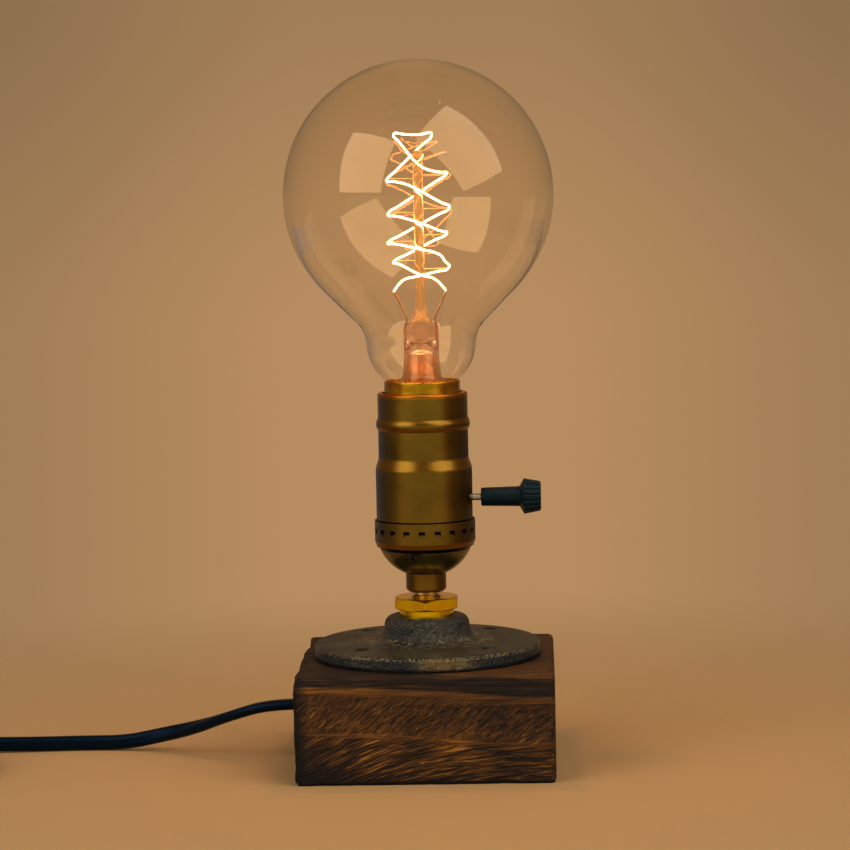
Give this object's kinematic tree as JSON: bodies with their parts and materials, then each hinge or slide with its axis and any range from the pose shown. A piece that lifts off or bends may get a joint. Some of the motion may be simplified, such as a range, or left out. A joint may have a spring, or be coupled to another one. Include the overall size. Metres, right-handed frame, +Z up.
{
  "type": "table lamp",
  "caption": "Table lamp: dark wooden block, cast pipe flange, brass hex adapter, bronze lamp holder with a turn switch, and a clear globe bulb with a spiral filament.",
  "frame": {"origin": "middle of the block's underside, under the axis of flange, holder and bulb", "axes": "+Z up along the bulb's axis, -Y towards the viewer, +X towards the switch knob"},
  "size_m": [0.3349, 0.1092, 0.2485],
  "materials": {
    "wood": "rough-sawn, dark stained",
    "cast_iron": "rough, dark",
    "dark_steel": "blackened",
    "brass": "bright satin",
    "aged_bronze": "antique satin",
    "fibre": "matte",
    "moulding": "matte",
    "knob_black": "semi-gloss",
    "steel_wire": "satin",
    "solder": "soft satin",
    "black_glass": "gloss",
    "clear_glass": "clear, faintly amber",
    "filament": "glowing",
    "core_sheath": "matte",
    "cord_black": "satin",
    "tie": "matte woven"
  },
  "bodies": {
    "base": {"wood_block": "wood", "floor_flange": "cast_iron", "flange_screws": "dark_steel", "neck_set_screw": "dark_steel", "hex_adapter": "brass", "screw_shell": "brass", "centre_contact": "brass", "contact_rivet": "brass", "switch_leaf": "brass", "terminal_plates": "brass", "terminal_screws": "brass", "plug_blades": "brass", "socket_cap": "aged_bronze", "socket_shell": "aged_bronze", "insulating_sleeve": "fibre", "socket_body": "moulding", "shell_screws": "steel_wire", "core_wires": "core_sheath", "inner_cord": "cord_black", "cord": "cord_black", "cord_coil": "cord_black", "cord_tail": "cord_black", "plug_body": "cord_black", "cord_tie": "tie"},
    "switch": {"switch_shaft": "dark_steel", "switch_rotor": "moulding", "switch_knob": "knob_black"},
    "bulb_lift": {"base_contact": "solder", "base_insulator": "black_glass"},
    "bulb": {"bulb_base": "brass", "glass_envelope": "clear_glass", "stem_glass": "clear_glass", "glass_rod": "clear_glass", "support_wires": "steel_wire", "filament": "filament", "lead_wires": "steel_wire"}
  },
  "joints": [
    {"name": "switch_turn", "type": "hinge", "parent": "base", "child": "switch", "pos_m": [0, 0, 0.094], "axis": [1, 0, 0], "continuous": true},
    {"name": "bulb_rise", "type": "slide", "parent": "base", "child": "bulb_lift", "axis": [0, 0, 1], "range_m": [0, 0.016]},
    {"name": "bulb_turn", "type": "hinge", "parent": "bulb_lift", "child": "bulb", "pos_m": [0, 0, 0.1357], "axis": [0, 0, 1], "range_deg": [0, 1584]}
  ],
  "couplings": [
    {"joint": "bulb_rise", "follows": "bulb_turn", "m_per_rad": 0.00057757}
  ]
}
